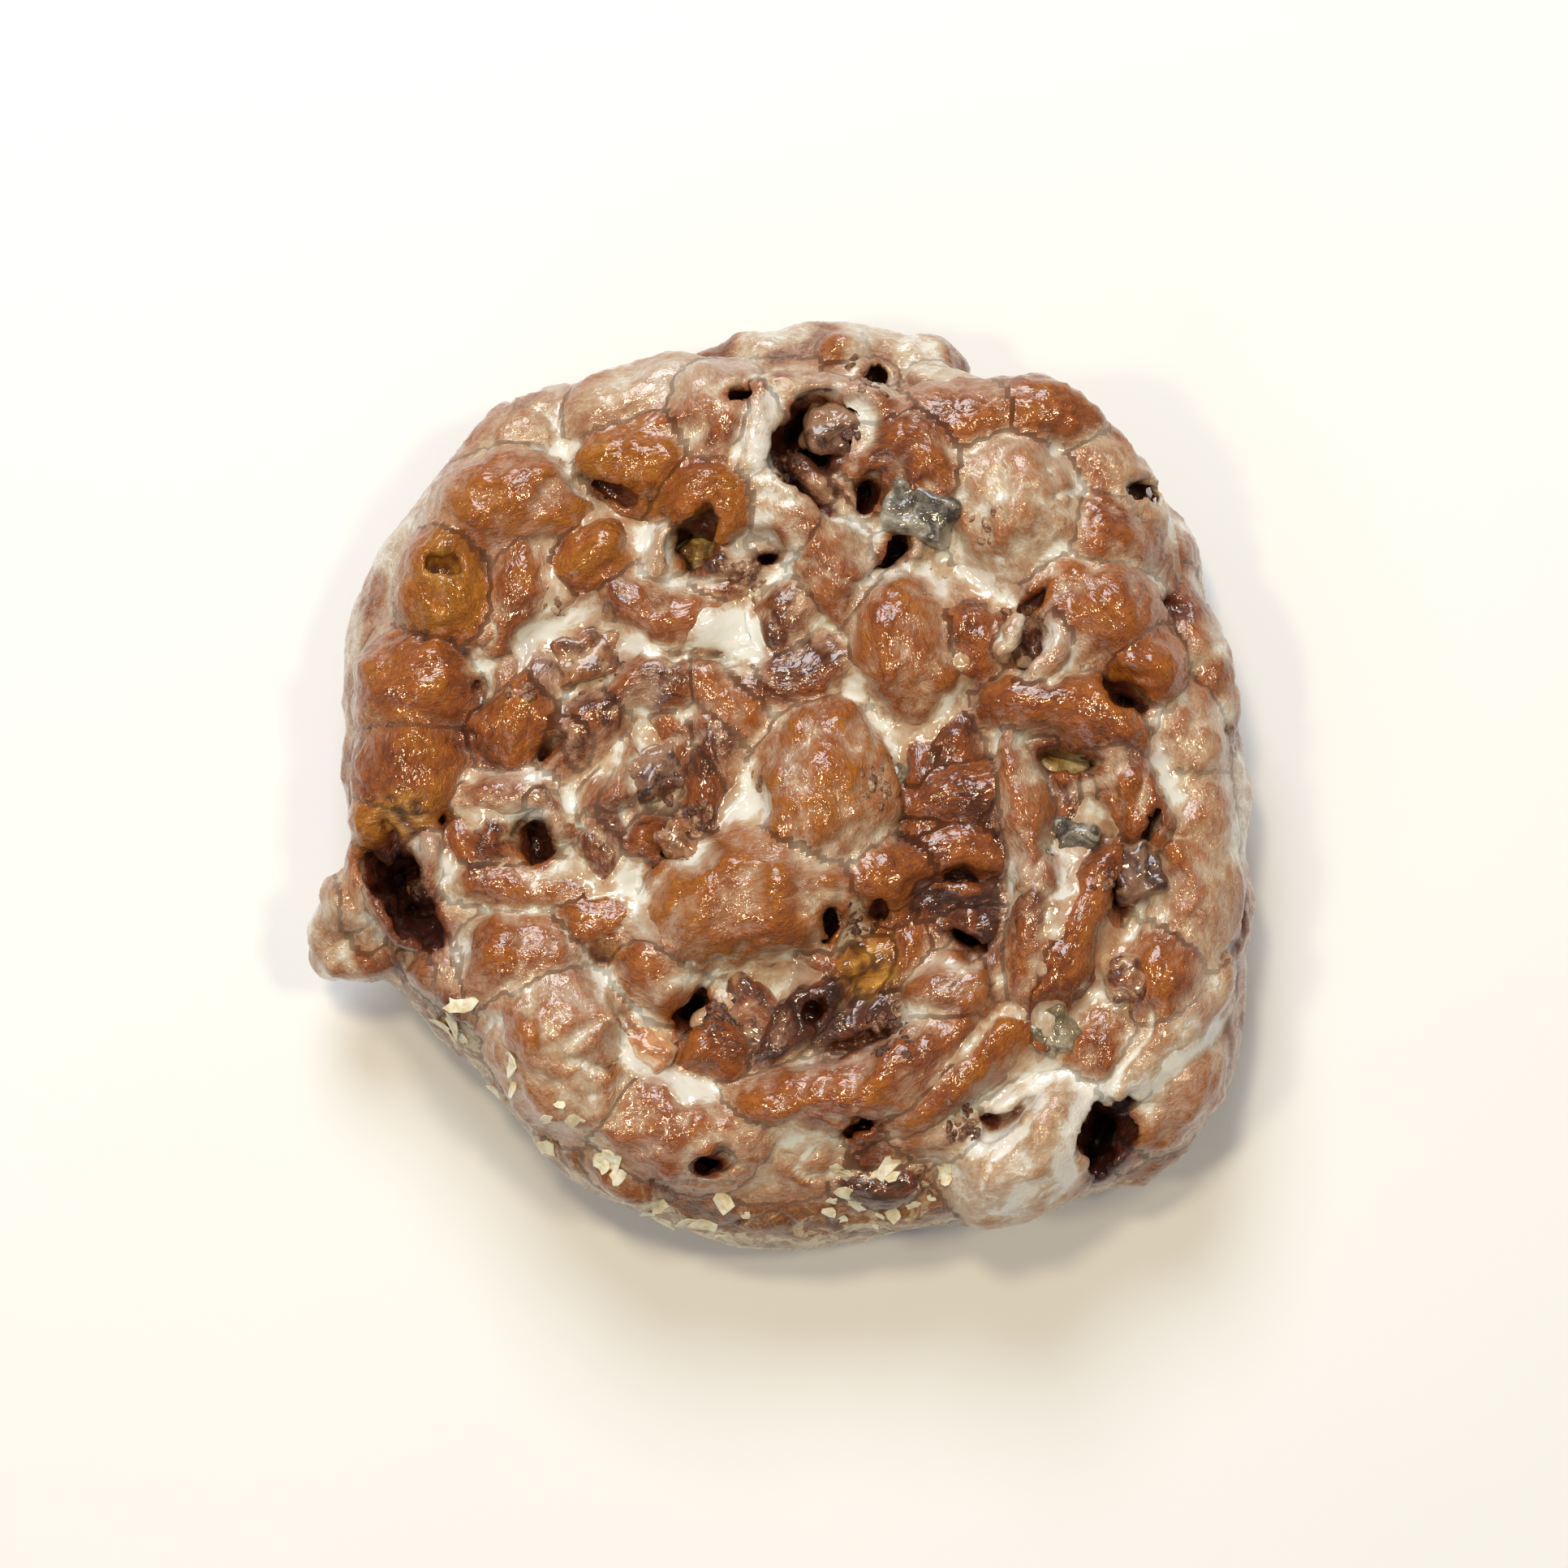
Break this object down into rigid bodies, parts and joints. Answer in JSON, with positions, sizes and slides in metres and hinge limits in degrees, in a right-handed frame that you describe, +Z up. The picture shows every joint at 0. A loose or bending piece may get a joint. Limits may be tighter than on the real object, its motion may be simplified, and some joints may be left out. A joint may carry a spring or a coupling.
{
  "type": "apple fritter",
  "caption": "Glazed fried pastry of pressed dough folds with deep gaps, dice of cooked apple and a knob on its left side; lies on its flat underside.",
  "frame": {"origin": "middle of the bounding box's base, on the surface that the fritter lies on", "axes": "+Z up, +Y towards the far edge and +X to the right, seen from above as in the picture"},
  "size_m": [0.1393, 0.1361, 0.0415],
  "materials": {
    "crust": "fried brown crust under a thin clear sugar glaze",
    "apple": "cooked apple, wet and browned with cinnamon",
    "glaze": "milky sugar glaze, glossy where it is thick"
  },
  "bodies": {
    "root": {"dough": "crust", "far_cave_apple": "apple", "grey_apple": "apple", "hook_apple": "apple", "diamond_apple": "apple", "square_apple": "apple", "right_apple": "apple", "blue_apple": "apple", "crusted_apple": "apple", "west_apple": "apple", "yellow_apple": "apple", "pocket_apple": "apple", "dark_apple": "apple", "valley_apple": "apple", "slit_apple": "apple"}
  },
  "joints": []
}
